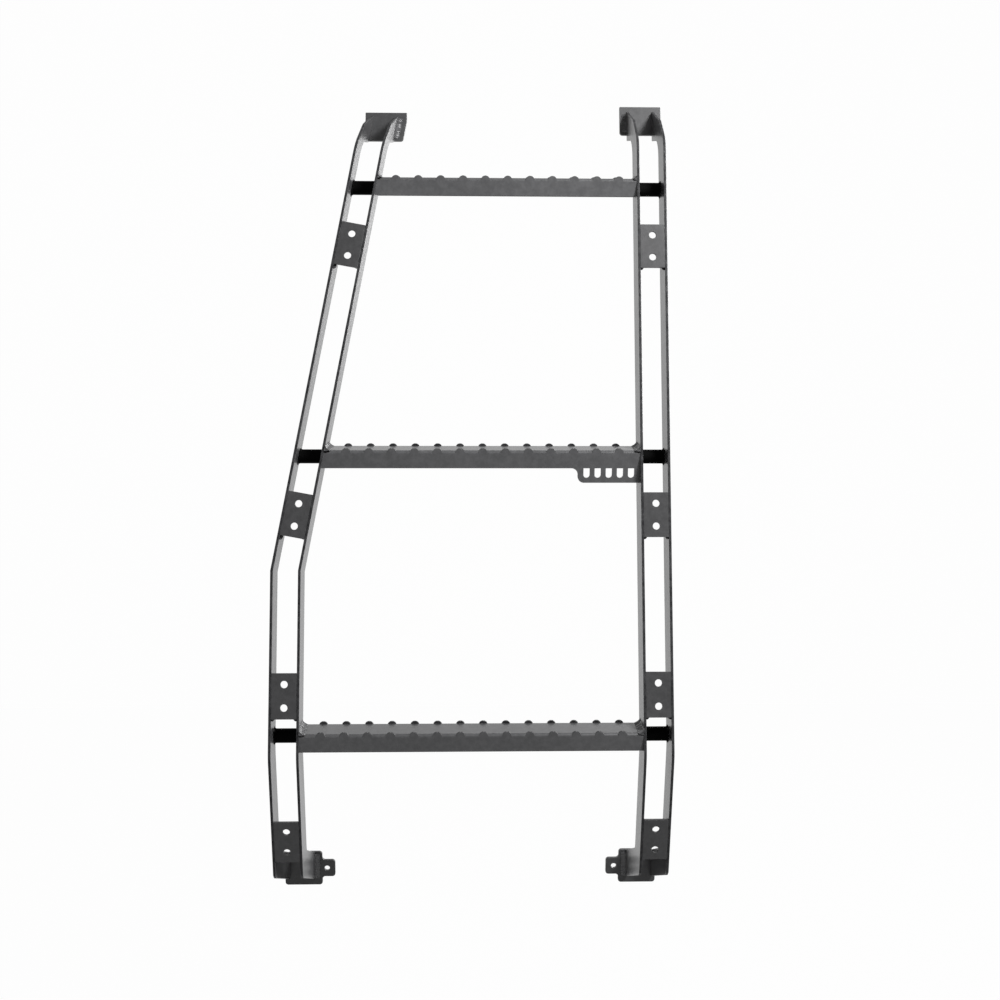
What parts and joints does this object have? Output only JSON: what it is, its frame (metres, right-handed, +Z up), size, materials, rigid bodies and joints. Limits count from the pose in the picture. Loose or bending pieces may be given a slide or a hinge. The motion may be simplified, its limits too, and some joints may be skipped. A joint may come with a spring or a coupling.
{
  "type": "rear hatch ladder for a vehicle",
  "caption": "Three step vehicle ladder of cut sheet metal: two paired plate stiles, one leaning inward, toothed channel steps, and mount plates on swept arms.",
  "frame": {"origin": "centre of the rear face of the right lower mount plate, which rests on the vehicle", "axes": "+Z up with the steps level, +Y toward the vehicle and forward, +X to the right as the climber sees it; the ladder leans toward +Y at the top"},
  "size_m": [0.4553, 0.3004, 0.9318],
  "materials": {
    "textured_coat": "matt",
    "dark_coat": "matt",
    "bar_coat": "satin"
  },
  "bodies": {
    "root": {"left_outer_side_plate": "textured_coat", "left_inner_side_plate": "textured_coat", "right_inner_side_plate": "textured_coat", "right_outer_side_plate": "textured_coat", "top_step": "textured_coat", "middle_step": "textured_coat", "bottom_step": "textured_coat", "left_spacer_top": "bar_coat", "left_spacer_middle": "bar_coat", "left_spacer_bottom": "bar_coat", "right_spacer_top": "bar_coat", "right_spacer_middle": "bar_coat", "right_spacer_bottom": "bar_coat", "left_cross_plate_top": "dark_coat", "left_cross_plate_middle": "dark_coat", "left_cross_plate_low": "dark_coat", "left_cross_plate_foot": "dark_coat", "right_cross_plate_top": "dark_coat", "right_cross_plate_middle": "dark_coat", "right_cross_plate_low": "dark_coat", "right_cross_plate_foot": "dark_coat", "left_upper_mount_plate": "textured_coat", "right_upper_mount_plate": "textured_coat", "left_lower_mount_plate": "dark_coat", "right_lower_mount_plate": "dark_coat"}
  },
  "joints": []
}
